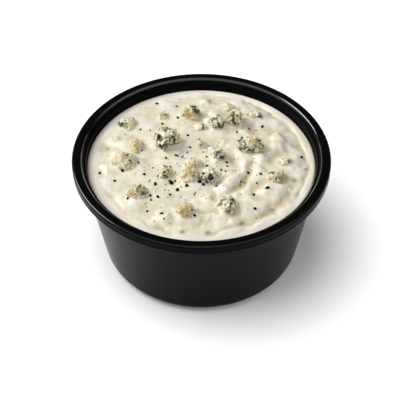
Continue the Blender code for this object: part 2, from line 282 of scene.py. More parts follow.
inner_floor = FOOT_HEIGHT + WALL
ledge = CUP_HEIGHT - LEDGE_DROP
ledge_inner = inner_wall_radius(ledge)
skirt_bottom = CUP_HEIGHT - SKIRT_DROP
skirt_inner = RIM_RADIUS - SKIRT_WALL
rim_underside = CUP_HEIGHT - RIM_THICKNESS
neck_bottom = CUP_HEIGHT - NECK_DROP
neck_foot = neck_bottom - NECK_STEP_HEIGHT
tub_section = rounded([
    (0, inner_floor, 0, 0),
    (inner_wall_radius(inner_floor), inner_floor, BASE_ROUNDING - WALL, 10),
    (ledge_inner, ledge, EDGE_ROUNDING, 5),
    (ledge_inner + LEDGE_WIDTH, ledge, SMALL_ROUNDING / 2, 3),
    (RIM_INNER_RADIUS, CUP_HEIGHT, INNER_LIP_ROUNDING, 8),
    (RIM_RADIUS, CUP_HEIGHT, OUTER_LIP_ROUNDING, 10),
    (RIM_RADIUS - SKIRT_WAIST, SKIRT_WAIST_HEIGHT, SMALL_ROUNDING, 3),
    (RIM_RADIUS, skirt_bottom, SMALL_ROUNDING, 5),
    (skirt_inner, skirt_bottom, SMALL_ROUNDING, 5),
    (skirt_inner - SKIRT_WAIST, rim_underside, EDGE_ROUNDING, 3),
    (NECK_RADIUS, rim_underside, EDGE_ROUNDING, 3),
    (NECK_RADIUS, neck_bottom, EDGE_ROUNDING, 4),
    (outer_wall_radius(neck_foot), neck_foot, SMALL_ROUNDING / 2, 2),
    (BASE_CORNER_RADIUS, 0, BASE_ROUNDING, 14),
    (FOOT_INNER_RADIUS, 0, SMALL_ROUNDING, 3),
    (FOOT_INNER_RADIUS - FOOT_HEIGHT, FOOT_HEIGHT, EDGE_ROUNDING, 3),
    (0, FOOT_HEIGHT, 0, 0),
])
print("the tub's section has", len(tub_section), "points")

# %% [markdown]
# A turned shape can be spun, or built ring by ring: a circle is added, then its edge is extruded and scaled
# to the next point of the section, over and over. Ring by ring keeps even quads and needs no clean-up of
# the seam, so both the tub and the dip are made that way.

# %% Ring by ring
def ring_by_ring(section, around):
    """Extrudes a circle through the section, from one pole to the other, and closes it there."""
    start = section[1]
    bpy.ops.mesh.primitive_circle_add(vertices=around, radius=start[0] * MM, fill_type="TRIFAN")
    bpy.ops.object.mode_set(mode="EDIT")
    bpy.ops.transform.translate(value=(0, 0, start[1] * MM))
    bpy.ops.mesh.region_to_loop()
    for (last_radius, last_height), (radius, height) in zip(section[1:-1], section[2:-1]):
        rise = (0, 0, (height - last_height) * MM)
        bpy.ops.mesh.extrude_region_move(TRANSFORM_OT_translate={"value": rise})
        share = radius / last_radius
        bpy.ops.transform.resize(value=(share, share, 1), center_override=(0, 0, height * MM))
    bpy.ops.mesh.extrude_region_move()
    bpy.ops.mesh.merge(type="CENTER")
    bpy.ops.mesh.select_all(action="SELECT")
    bpy.ops.mesh.normals_make_consistent(inside=False)
    bpy.ops.object.mode_set(mode="OBJECT")
    return bpy.context.object


# %% [markdown]
# The tub is turned from that section in enough steps that its outline looks round from close by. Its
# section already has an arc at every rounded edge, so smooth shading by angle keeps the few real creases
# crisp.

# %% Tub
TUB_AROUND = 240
CREASE_ANGLE = math.radians(40)

tub = ring_by_ring(tub_section, TUB_AROUND)
bpy.ops.object.shade_smooth_by_angle(angle=CREASE_ANGLE)

# %% [markdown]
# The tub is black polypropylene, injection moulded. The wall comes from a blasted part of the tool, so the
# eye sees a very dark satin body with soft, blurred reflections and a faint cloudiness. The top and the
# inside of the rim come from polished steel and give thin, sharp gleams, so a mask by height and radius
# blends the two. The grain of the blasting is about 0.2 mm and is drawn as a weak bump at that size.

# %% Black polypropylene
TOOL_GRAIN = 0.2
CLOUD_SIZE = 9.0
POLISHED_RADIUS = (36.9, 36.3)
POLISHED_HEIGHT = (35.9, 36.1)
SATIN_GLOSS = 0.025
POLISHED_GLOSS = 0.9
SATIN_ROUGHNESS = (0.22, 0.28)
POLISHED_ROUGHNESS = 0.10

black_plastic, tree = new_material("black polypropylene, satin moulded")
place = add_node(tree, "ShaderNodeTexCoord").outputs["Object"]
clouds = add_node(tree, "ShaderNodeTexNoise", Vector=place, Scale=1 / (CLOUD_SIZE * MM), Detail=3.0)
grain = add_node(tree, "ShaderNodeTexNoise", Vector=place, Scale=1 / (TOOL_GRAIN * MM), Detail=1.0)
blur = add_node(tree, "ShaderNodeMapRange", Value=clouds.outputs["Fac"], From_Min=0.3, From_Max=0.7,
                To_Min=SATIN_ROUGHNESS[0], To_Max=SATIN_ROUGHNESS[1])
height = add_node(tree, "ShaderNodeSeparateXYZ", Vector=place).outputs["Z"]
sideways = add_node(tree, "ShaderNodeVectorMath", {"operation": "MULTIPLY"}, i0=place, i1=(1, 1, 0))
radius = add_node(tree, "ShaderNodeVectorMath", {"operation": "LENGTH"}, i0=sideways.outputs["Vector"])
high = add_node(tree, "ShaderNodeMapRange", Value=height, From_Min=POLISHED_HEIGHT[0] * MM,
                From_Max=POLISHED_HEIGHT[1] * MM)
inward = add_node(tree, "ShaderNodeMapRange", Value=radius.outputs["Value"], From_Min=POLISHED_RADIUS[0] * MM,
                  From_Max=POLISHED_RADIUS[1] * MM)
polish = add_node(tree, "ShaderNodeMath", {"operation": "MULTIPLY"}, i0=high.outputs["Result"],
                  i1=inward.outputs["Result"]).outputs["Value"]
gloss = add_node(tree, "ShaderNodeMapRange", Value=polish, To_Min=SATIN_GLOSS, To_Max=POLISHED_GLOSS)
rough = add_node(tree, "ShaderNodeMix", i0=polish, i2=blur.outputs["Result"], i3=POLISHED_ROUGHNESS)
satin = add_node(tree, "ShaderNodeBump", Height=grain.outputs["Fac"], Strength=0.05, Distance=0.02 * MM)
plastic = add_node(tree, "ShaderNodeBsdfPrincipled", Base_Color=linear("#070708"), IOR=1.49,
                   Specular_IOR_Level=gloss.outputs["Result"], Roughness=rough.outputs["Result"],
                   Normal=satin.outputs["Normal"])
add_node(tree, "ShaderNodeOutputMaterial", Surface=plastic.outputs["BSDF"])
hand_over(tub, "tub", black_plastic, "black_plastic", "cup")

# %% [markdown]
# The dip's surface is a low dome with spoon folds, a few swirls round the wall, soft lumps of coated cheese
# and a small shoulder round each crumb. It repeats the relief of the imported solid, as a formula over many
# places at once, and then adds what is finer. Sizes are millimetres.

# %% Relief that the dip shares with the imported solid
DIP_EDGE_LEVEL = 33.3
DIP_EDGE_ROUNDING = 0.7
DOME = 0.7
FADE_WIDTH = 2.2
WAVE_HEIGHT = 0.16
WAVES = [(0.55, 0.3, 0.0), (0.2, -0.6, 1.7)]
SHOULDER_RISE = 0.2
SHOULDER_REACH = 0.7

# The lumps that stand out: x, y, radius and height
LUMPS = [
    (1.0, 26.5, 1.5, 0.8),
    (4.5, 20.0, 2.0, 0.8),
    (2.0, 17.0, 1.5, 0.8),
    (-6.5, 13.0, 2.0, 0.6),
    (12.5, 11.5, 2.0, 0.7),
    (-23.0, 6.5, 2.0, 0.5),
    (6.0, 7.0, 1.5, 0.6),
    (3.0, 4.0, 1.0, 0.6),
    (-25.0, 1.5, 1.5, 0.6),
    (17.0, 0.0, 2.0, 0.7),
    (12.5, -1.0, 2.0, 0.7),
    (-25.5, -3.0, 2.0, 0.5),
    (17.5, -6.5, 1.5, 0.6),
    (7.5, -9.0, 2.0, 0.6),
    (6.5, -12.5, 1.5, 0.6),
    (18.0, -13.5, 2.0, 1.3),
    (1.5, -17.0, 2.0, 0.9),
    (-18.0, -18.0, 2.0, 0.6),
    (-11.0, -23.0, 2.0, 0.9),
]

# The smaller lumps, spread over the whole dip by a rule
SMALL_LUMPS = 26
SMALL_LUMP_LIMIT = 28.0
SMALL_LUMP_RADII = (1.2, 2.2)
SMALL_LUMP_HEIGHTS = (0.2, 0.6)
SMALL_LUMP_STRAY = 0.4
SMALL_LUMP_SEED = 7
GOLDEN_ANGLE = math.pi * (3 - math.sqrt(5))

# The spoon's folds: height, half width, then the points that the fold runs through
FOLDS = [
    (0.8, 1.5, [(4.6, -13.4), (8.9, -10.2), (11.2, -6.0), (11.8, -2.6)]),
    (0.6, 1.5, [(12.8, -16.4), (13.5, -11.6), (14.9, -7.7), (16.4, -3.9), (18.2, -0.2), (18.9, 3.6)]),
    (1.5, 1.7, [(22.2, 9.8), (22.6, 7.0), (21.9, 4.9)]),
    (0.6, 2.2, [(21.6, -12.4), (18.6, -17.6), (13.0, -20.9)]),
    (-0.4, 0.9, [(-0.6, -20.9), (2.0, -21.2), (4.0, -21.0)]),
]

# Swirls round the wall: height, half width, start and end radius, start and end angle in degrees
SWIRLS = [
    (-0.3, 1.0, 30.0, 30.4, 65.0, -27.0),
    (-0.35, 1.1, 27.4, 28.4, -26.0, -84.0),
    (0.25, 1.6, 26.4, 27.2, 60.0, -14.0),
    (-0.2, 0.8, 29.0, 29.6, 190.0, 250.0),
]
SWIRL_STEP = 6.0

# The crumbs: x, y, width, depth and height above the dip
CRUMBS = [
    (8.0, 23.0, 3.5, 2.5, 1.5),
    (-11.5, 19.5, 3.0, 2.5, 1.5),
    (16.0, 19.5, 4.5, 3.0, 1.5),
    (-3.0, 19.5, 6.0, 4.5, 3.0),
    (10.0, 16.0, 5.0, 6.0, 4.0),
    (-22.0, 15.5, 5.5, 4.5, 2.0),
    (4.5, 15.0, 5.0, 6.0, 3.5),
    (-0.5, 13.5, 4.0, 3.0, 1.5),
    (-10.5, 7.0, 8.0, 7.0, 4.0),
    (0.0, 5.5, 3.0, 2.5, 1.5),
    (-19.0, 5.0, 4.0, 5.5, 2.0),
    (14.0, 4.5, 8.0, 6.5, 3.5),
    (5.0, 0.5, 4.5, 3.5, 2.5),
    (-22.0, -1.5, 7.0, 5.5, 2.5),
    (24.0, -1.5, 4.0, 3.0, 1.5),
    (-2.5, -2.5, 4.5, 3.5, 1.5),
    (-10.0, -6.0, 4.5, 4.5, 2.0),
    (-3.5, -7.5, 5.5, 5.0, 3.0),
    (21.0, -7.5, 5.5, 4.5, 2.5),
    (2.0, -8.0, 4.5, 5.5, 3.0),
    (-17.5, -14.0, 6.0, 4.5, 2.5),
    (7.0, -19.0, 5.5, 6.5, 3.0),
    (-4.5, -21.5, 5.0, 4.0, 2.5),
]


def distance_to_line(x, y, points):
    """Shortest distances from places to a line through the points."""
    nearest = np.full(np.shape(x), np.inf)
    for (x0, y0), (x1, y1) in zip(points, points[1:]):
        along_x, along_y = x1 - x0, y1 - y0
        share = ((x - x0) * along_x + (y - y0) * along_y) / (along_x ** 2 + along_y ** 2)
        share = np.clip(share, 0, 1)
        nearest = np.minimum(nearest, np.hypot(x - x0 - share * along_x, y - y0 - share * along_y))
    return nearest


def swirl_points(start_radius, end_radius, start_angle, end_angle):
    """Points along a stretch of spiral, one for each few degrees."""
    steps = round(abs(end_angle - start_angle) / SWIRL_STEP)
    radii = np.linspace(start_radius, end_radius, steps + 1)
    angles = np.radians(np.linspace(start_angle, end_angle, steps + 1))
    return [(r * math.cos(a), r * math.sin(a)) for r, a in zip(radii, angles)]


def small_lumps():
    """The smaller lumps, spread evenly like the seeds of a sunflower, each a little astray."""
    draw = random.Random(SMALL_LUMP_SEED)
    lumps = []
    for i in range(SMALL_LUMPS):
        reach = SMALL_LUMP_LIMIT * math.sqrt((i + 0.5) / SMALL_LUMPS)
        angle = i * GOLDEN_ANGLE + draw.uniform(-SMALL_LUMP_STRAY, SMALL_LUMP_STRAY)
        radius = draw.uniform(*SMALL_LUMP_RADII)
        height = draw.uniform(*SMALL_LUMP_HEIGHTS)
        lumps.append((reach * math.cos(angle), reach * math.sin(angle), radius, height))
    return lumps


all_lumps = LUMPS + small_lumps()
all_folds = FOLDS + [(swirl[0], swirl[1], swirl_points(*swirl[2:])) for swirl in SWIRLS]
edge_radius = inner_wall_radius(DIP_EDGE_LEVEL) - DIP_EDGE_ROUNDING


def dip_level(x, y):
    """Heights of the dip's surface over places x and y."""
    radius = np.hypot(x, y)
    relief = WAVE_HEIGHT * sum(np.sin(ax * x + ay * y + start) for ax, ay, start in WAVES)
    for height, half_width, points in all_folds:
        relief = relief + height * np.exp(-(distance_to_line(x, y, points) / half_width) ** 2)
    for lump_x, lump_y, lump_radius, height in all_lumps:
        relief = relief + height * np.exp(-((x - lump_x) ** 2 + (y - lump_y) ** 2) / lump_radius ** 2)
    for crumb_x, crumb_y, width, depth, height in CRUMBS:
        spread = ((x - crumb_x) / width) ** 2 + ((y - crumb_y) / depth) ** 2
        relief = relief + SHOULDER_RISE * height * np.exp(-spread / SHOULDER_REACH ** 2)
    fade = np.clip((edge_radius - radius) / FADE_WIDTH, 0, 1)
    fade = fade * fade * (3 - 2 * fade)
    dome = DOME * (1 - np.minimum(radius / edge_radius, 1) ** 2)
    return DIP_EDGE_LEVEL + dome + relief * fade


print("level of the dip in the middle:", round(float(dip_level(0.0, 0.0)), 2), "mm")

# %% [markdown]
# The dip fills the tub up to its wall, so it is one closed body: across the top, down the side and over the
# floor. It is built ring by ring like the tub. Its mesh is fine enough to carry folds of a third of a
# millimetre, which is why the top alone takes more than a hundred rings.

# %% Dip as a smooth filling
DIP_AROUND = 540
DIP_RING_SPACING = 0.29
INTO_THE_WALL = 0.08

wall_reach = inner_wall_radius(DIP_EDGE_LEVEL) + INTO_THE_WALL
rings = round(wall_reach / DIP_RING_SPACING)
dip_floor = FOOT_HEIGHT + WALL - INTO_THE_WALL
top_rings = [(0, DIP_EDGE_LEVEL)] + [(wall_reach * i / rings, DIP_EDGE_LEVEL) for i in range(1, rings + 1)]
side_rings = rounded([
    (wall_reach, DIP_EDGE_LEVEL, 0, 0),
    (inner_wall_radius(dip_floor) + INTO_THE_WALL, dip_floor, BASE_ROUNDING - WALL, 8),
    (0, dip_floor, 0, 0),
])
dip = ring_by_ring(top_rings + [tuple(point) for point in side_rings[1:]], DIP_AROUND)
print("the dip has", rings, "rings across its top")


# %% [markdown]
# A brush in sculpt mode moves many points a little at once. The same is done here in code, because no
# operator knows the relief above: the points are read as an array, moved by a formula, and written back.
# Noise from Blender's own library stands for the unevenness of a spoon and of curd.

# %% Points of a mesh as arrays
def points_of(piece):
    """The piece's points in millimetres, one row each."""
    flat = np.empty(len(piece.data.vertices) * 3)
    piece.data.vertices.foreach_get("co", flat)
    return flat.reshape(-1, 3) / MM


def move_points(piece, points):
    """Puts the piece's points at the given places, in millimetres."""
    piece.data.vertices.foreach_set("co", (points * MM).ravel())
    piece.data.update()


def cloudy(points, size, octaves=3, seed=0.0):
    """Soft noise between about -1 and 1 at each point, with clouds of the given size in millimetres."""
    start = Vector((seed, 2 * seed, 3 * seed))
    return np.array([noise.fractal(Vector(point) / size + start, 1.0, 2.0, octaves) for point in points])


# %% [markdown]
# A stirred dip isn't smooth. On the right, where the spoon went last, it is curdled into soft ridges, and
# on the left it lies calmer. Places are first nudged by noise, so that folds wander as a spoon's do, and
# three sizes of noise are laid on top: curds, granules and a fine skin. Where the dip meets the wall it
# rounds down.

# %% Relief of the dip
EDGE_ROUND = 0.75
CURD_RELIEF = (0.10, 0.20)
CURD_SIZE = 3.0
STIRRED_SIDE = (-8.0, 8.0)
GRANULE_RELIEF = 0.16
GRANULE_SIZE = 1.5
FINE_RELIEF = 0.03
FINE_SIZE = 0.8
WANDER = 1.1
WANDER_SIZE = 4.0

points = points_of(dip)
top = points[:, 2] > DIP_EDGE_LEVEL - 0.01
x, y = points[top, 0], points[top, 1]
radius = np.hypot(x, y)
flat = np.stack([x, y, np.zeros(len(x))], axis=1)
calm = np.clip((edge_radius - radius) / FADE_WIDTH, 0, 1)
wander_x = calm * WANDER * cloudy(flat, WANDER_SIZE, 2, 3.1)
wander_y = calm * WANDER * cloudy(flat, WANDER_SIZE, 2, 6.7)
level = dip_level(x + wander_x, y + wander_y)
stirred = np.interp(x, STIRRED_SIDE, CURD_RELIEF)
level += calm * stirred * cloudy(flat, CURD_SIZE, 3, 1.7)
level += calm * GRANULE_RELIEF * np.clip(cloudy(flat, GRANULE_SIZE, 2, 9.3) - 0.2, 0, None)
level += calm * FINE_RELIEF * cloudy(flat, FINE_SIZE, 2, 5.1)
into_edge = np.clip(radius - (inner_wall_radius(DIP_EDGE_LEVEL) - EDGE_ROUND), 0, EDGE_ROUND)
level -= EDGE_ROUND - np.sqrt(EDGE_ROUND ** 2 - into_edge ** 2)
points[top, 2] = level
move_points(dip, points)
active_piece(dip)
bpy.ops.object.shade_smooth()
print("the dip's surface lies between", level.min().round(2), "and", level.max().round(2), "mm")

# %% [markdown]
# Hollows and creases are found by how far each point lies below the average of its neighbours. On the dip
# this measure gives painted shade: the hollows are made darker and warmer. On the cheese it adds to the mould
# that grows in the creases, and it adds painted shade to the tan there.

# %% Hollows of a mesh
def hollows(piece, points, rounds=4):
    """How deep each point lies in a crease, in millimetres, from repeated averages over its neighbours."""
    edges = np.empty(len(piece.data.edges) * 2, dtype=np.int64)
    piece.data.edges.foreach_get("vertices", edges)
    first, second = edges.reshape(-1, 2).T
    counts = np.bincount(edges, minlength=len(points)).astype(float)[:, None]
    smooth = points.copy()
    for _ in range(rounds):
        total = np.zeros_like(smooth)
        np.add.at(total, first, smooth[second])
        np.add.at(total, second, smooth[first])
        smooth = total / np.maximum(counts, 1)
    normals = np.empty(len(points) * 3)
    piece.data.vertices.foreach_get("normal", normals)
    return ((smooth - points) * normals.reshape(-1, 3)).sum(axis=1)


# %% [markdown]
# Marks on the dip are painted on its points: tan painted shade, blue-grey smears of mould, and dark specks
# that show through a skin of cream. Their places were read in the photograph as they appear on a level plane
# just under the surface, so a point higher up is first slid down the line of sight to that plane.

# %% Painting helpers
SEEN_LEVEL = 33.9
SLANT = 1 / math.tan(CAMERA_ELEVATION)


def seen_place(points):
    """Where points appear on the level plane, looking along the line of sight."""
    return points[:, 0], points[:, 1] + (points[:, 2] - SEEN_LEVEL) * SLANT


def blobs(x, y, places):
    """Strength of soft spots over places x and y; each spot has an x, a y, a radius and its most strength."""
    strength = np.zeros(len(x))
    for spot_x, spot_y, reach, most in places:
        nearness = np.exp(-((x - spot_x) ** 2 + (y - spot_y) ** 2) / reach ** 2)
        strength = np.maximum(strength, most * nearness)
    return strength


def streaks(x, y, places):
    """Strength along soft lines over places x and y: each has a strength, a half width and its points."""
    strength = np.zeros(len(x))
    for most, half_width, line in places:
        strength = np.maximum(strength, most * np.exp(-(distance_to_line(x, y, line) / half_width) ** 2))
    return strength


def paint(piece, name, red, green, blue, alpha):
    """Stores four strengths for each point of the piece."""
    layer = piece.data.color_attributes.new(name=name, type="FLOAT_COLOR", domain="POINT")
    values = np.clip(np.stack([red, green, blue, alpha], axis=1), 0, 1)
    layer.data.foreach_set("color", values.astype(np.float32).ravel())


# %% [markdown]
# Tan painted shade lies along the shaded flanks of the folds and beside the crumbs, and specks of mould lie
# just under the surface. They could be an image texture, but a few strengths on the points follow the relief
# and need no unwrapping. Red holds the tan shade, green the grey, and blue the painted shade of the hollows.

# %% Marks on the dip
# Streaks and spots of tan painted shade, on the shaded flanks of the folds and beside the crumbs
# Strength, half width, then the points along the streak, as seen
TAN_SHADE_STREAKS = [
    (0.55, 0.9, [(8.6, -13.0), (11.2, -10.0), (13.0, -6.5), (13.3, -3.6)]),
    (0.40, 0.8, [(15.6, -13.0), (17.5, -9.0)]),
    (0.60, 1.0, [(21.6, 6.9), (22.2, 8.6), (21.2, 10.6)]),
    (0.45, 0.8, [(28.0, 14.0), (30.4, 8.0), (31.2, 1.0), (30.4, -5.5), (28.5, -9.5)]),
    (0.35, 0.8, [(22.0, 21.5), (26.0, 17.0), (28.6, 12.5)]),
    (0.45, 0.9, [(24.5, -15.0), (21.0, -19.5), (16.5, -22.8), (11.0, -25.0), (6.5, -27.0)]),
    (0.30, 0.9, [(0.5, -19.6), (3.0, -19.9)]),
]
# x, y, radius and strength, as seen
TAN_SHADE_SPOTS = [
    (-6.6, 13.6, 1.6, 0.5),
    (5.9, 7.3, 1.6, 0.5),
    (2.4, -15.7, 1.5, 0.45),
    (-10.9, -22.8, 1.5, 0.45),
    (-10.4, 1.8, 1.5, 0.35),
    (-16.8, -6.9, 1.6, 0.3),
    (18.2, -14.2, 1.4, 0.6),
    (13.1, -3.4, 1.2, 0.5),
    (-5.0, 0.5, 1.2, 0.3),
]
GREY_SPOTS = [
    (-5.1, -28.9, 0.8, 0.8),
    (1.7, -29.2, 0.8, 0.75),
    (19.5, -20.7, 0.7, 0.8),
    (10.9, -25.6, 0.6, 0.9),
    (26.2, -8.9, 0.7, 0.7),
    (-24.1, 8.7, 0.8, 0.5),
    (-25.6, 7.6, 0.9, 0.35),
    (-27.2, 4.4, 0.6, 0.45),
    (23.7, 15.5, 0.6, 0.5),
    (20.7, 20.4, 0.6, 0.4),
    (2.4, 26.6, 0.7, 0.5),
    (29.8, -4.2, 0.5, 0.8),
]

# Painted shade: the hollows of the dip are made darker and warmer, over a random tone
HOLLOW_SHADE_DEPTH = 0.30
HOLLOW_SHADE_ROUNDS = 30
MOTTLE_SIZE = 3.2

points = points_of(dip)
x, y = seen_place(points)
mottle = cloudy(np.stack([x, y, 0 * x], axis=1), MOTTLE_SIZE, 3, 8.3)
# Tan painted shade along the folds and beside the crumbs; the grey is mould under the cream
tan = np.maximum(streaks(x, y, TAN_SHADE_STREAKS), blobs(x, y, TAN_SHADE_SPOTS)) * (0.85 + 0.3 * mottle)
grey = blobs(x, y, GREY_SPOTS) * (1 + 0.3 * mottle)
# Painted shade in the hollows, over a random tone, held in the blue strength
tone_and_hollow_shade = np.clip(0.3 + 0.25 * mottle + hollows(dip, points, HOLLOW_SHADE_ROUNDS) / HOLLOW_SHADE_DEPTH, 0, 1)
paint(dip, "marks", tan, grey, tone_and_hollow_shade, np.ones(len(points)))
# The tan counted here is painted shade
print("share of the dip with painted tan shade:", (tan > 0.1).mean().round(3))

# %% [markdown]
# The dip is soured cream and mayonnaise with cheese stirred in: an opaque emulsion, full of fat. Light goes
# a little way into it and comes out again, so its shadows are soft and warm, and its skin has a broad,
# moist sheen. Fine grain of the curd, about 0.4 mm, breaks up that sheen.

# %% Dip material
CURD_GRAIN = 0.45

cream, tree = new_material("blue cheese dip, stirred cream")
place = add_node(tree, "ShaderNodeTexCoord").outputs["Object"]
marks = add_node(tree, "ShaderNodeAttribute", {"attribute_name": "marks"})
masks = add_node(tree, "ShaderNodeSeparateColor", Color=marks.outputs["Color"])
grain = add_node(tree, "ShaderNodeTexNoise", Vector=place, Scale=1 / (CURD_GRAIN * MM), Detail=2.0)
# Painted shade: the blue strength darkens and warms the cream in the hollows
cream_with_hollow_shade = blend(tree, masks.outputs["Blue"], linear("#e9e3d4"), linear("#d0c4a6"))
# Painted shade: the red strength lays tan over the shaded flanks of the folds and beside the crumbs
tan_shaded = blend(tree, masks.outputs["Red"], cream_with_hollow_shade, linear("#c9b48a"))
smeared = blend(tree, masks.outputs["Green"], tan_shaded, linear("#74786f"))
skin = add_node(tree, "ShaderNodeBump", Height=grain.outputs["Fac"], Strength=0.25, Distance=0.05 * MM)
emulsion = add_node(tree, "ShaderNodeBsdfPrincipled", Base_Color=smeared, IOR=1.45, Roughness=0.42,
                    Specular_IOR_Level=0.5, Subsurface_Weight=0.5, Subsurface_Scale=0.0012,
                    Subsurface_Radius=(1.0, 0.75, 0.5), Normal=skin.outputs["Normal"])
add_node(tree, "ShaderNodeOutputMaterial", Surface=emulsion.outputs["BSDF"])
hand_over(dip, "dip_filling", cream, "dip", "dip")

# %% [markdown]
# Blue cheese breaks along its curds, so a crumb is a cluster of small knobs with deep creases, where the
# mould grows. Each crumb here is a handful of tumbled chunks round a core, joined and remeshed into one
# skin, worn soft and then roughened. That gives real creases at the size of curds, which a bump map would
# not show at the outline.

# %% Crumb shape
CRUMB_CHUNKS = (0.35, 0.65)
BLOCK_CHUNKS = (0.55, 0.9)
CHUNKS_PER_AREA = 1.5
LEAST_CHUNKS = 8
FOOT_LIFT = 0.1
NOTCH = 0.26
SWELL = 1.14
PEAK_SHIFT = 0.35
VOXEL = 0.12
CORE_SHARE = 0.33
CORE_HEIGHT = 0.7
SOFTENING = {True: 3, False: 8}
CRAG_SIZE = 0.55


def add_core(place, radii):
    """Adds the round heart of a crumb, with a radius along each axis, in millimetres."""
    centre = [v * MM for v in place]
    bpy.ops.mesh.primitive_ico_sphere_add(subdivisions=3, radius=MM, location=centre, scale=radii)
    return bpy.context.object


def add_chunk(place, size, draw):
    """Adds a broken chunk of curd, tumbled, with the given half size in millimetres."""
    tumble = [draw.uniform(0, math.tau) for _ in range(3)]
    shape = [size * draw.uniform(0.7, 1.2) for _ in range(3)]
    centre = [v * MM for v in place]
    bpy.ops.mesh.primitive_cube_add(size=2 * MM, location=centre, rotation=tumble, scale=shape)
    return bpy.context.object


def crumb_shape(sizes, veined, draw):
    """Joins a core and a scatter of chunks into one craggy skin, sunk a little into the dip."""
    x, y, width, depth, height = sizes
    level = float(dip_level(x, y))
    chunks = CRUMB_CHUNKS if veined else BLOCK_CHUNKS
    parts = [add_core((x, y, level), (CORE_SHARE * width, CORE_SHARE * depth, CORE_HEIGHT * height))]
    notches = draw.choice((2, 3))
    notch_turn = draw.uniform(0, math.tau)
    peak_turn = draw.uniform(0, math.tau)
    count = max(LEAST_CHUNKS, round(CHUNKS_PER_AREA * width * depth * CRUMB_CHUNKS[1] / chunks[1]))
    for i in range(count):
        reach = math.sqrt((i + 0.5) / count)
        angle = i * GOLDEN_ANGLE + draw.uniform(-0.5, 0.5)
        size = draw.uniform(*chunks)
        swell = SWELL - NOTCH * (0.5 + 0.5 * math.cos(notches * angle + notch_turn))
        across = swell * reach * (width / 2 - 0.7 * size) * math.cos(angle)
        along = swell * reach * (depth / 2 - 0.7 * size) * math.sin(angle)
        lean = 1 - PEAK_SHIFT * reach * (0.5 + 0.5 * math.cos(angle - peak_turn))
        dome = math.sqrt(1 - reach ** 4) * lean
        up = max(height * dome * draw.uniform(0.8, 1.0) - 1.1 * size, FOOT_LIFT)
        parts.append(add_chunk((x + across, y + along, level + up), size, draw))
    bpy.ops.object.select_all(action="DESELECT")
    for part in parts:
        part.select_set(True)
    bpy.context.view_layer.objects.active = parts[0]
    bpy.ops.object.join()
    crumb = bpy.context.object
    bpy.ops.object.transform_apply(location=True, rotation=True, scale=True)
    skin = crumb.modifiers.new("one skin", "REMESH")
    skin.mode = "VOXEL"
    skin.voxel_size = VOXEL * MM
    bpy.ops.object.modifier_apply(modifier=skin.name)
    soften = crumb.modifiers.new("worn edges", "SMOOTH")
    soften.iterations = SOFTENING[veined]
    bpy.ops.object.modifier_apply(modifier=soften.name)
    return crumb


def roughen(crumb, depth, seed):
    """Pushes the skin in and out by fine crags of some depth, along its normals."""
    points = points_of(crumb)
    normals = np.empty(len(points) * 3)
    crumb.data.vertices.foreach_get("normal", normals)
    crags = cloudy(points, CRAG_SIZE, 3, seed)
    points += normals.reshape(-1, 3) * (depth * crags)[:, None]
    move_points(crumb, points)
    return points


# %% [markdown]
# Each crumb is painted with four strengths: mould, tan, white, and the coat of dip that climbs its foot. The
# tan is partly tan paste and partly painted shade, on the right-hand sides and in the creases; the white is
# partly pale paste and partly painted light on the lit tops and left sides. A few patches of each are listed,
# crumb by crumb, and noise breaks up their edges. A patch has a place across the crumb, from -1 at its left
# edge to 1 at its right, a place along it, from -1 at the foot in front to 1 at the back of its top, a size
# in the same shares, and a strength.

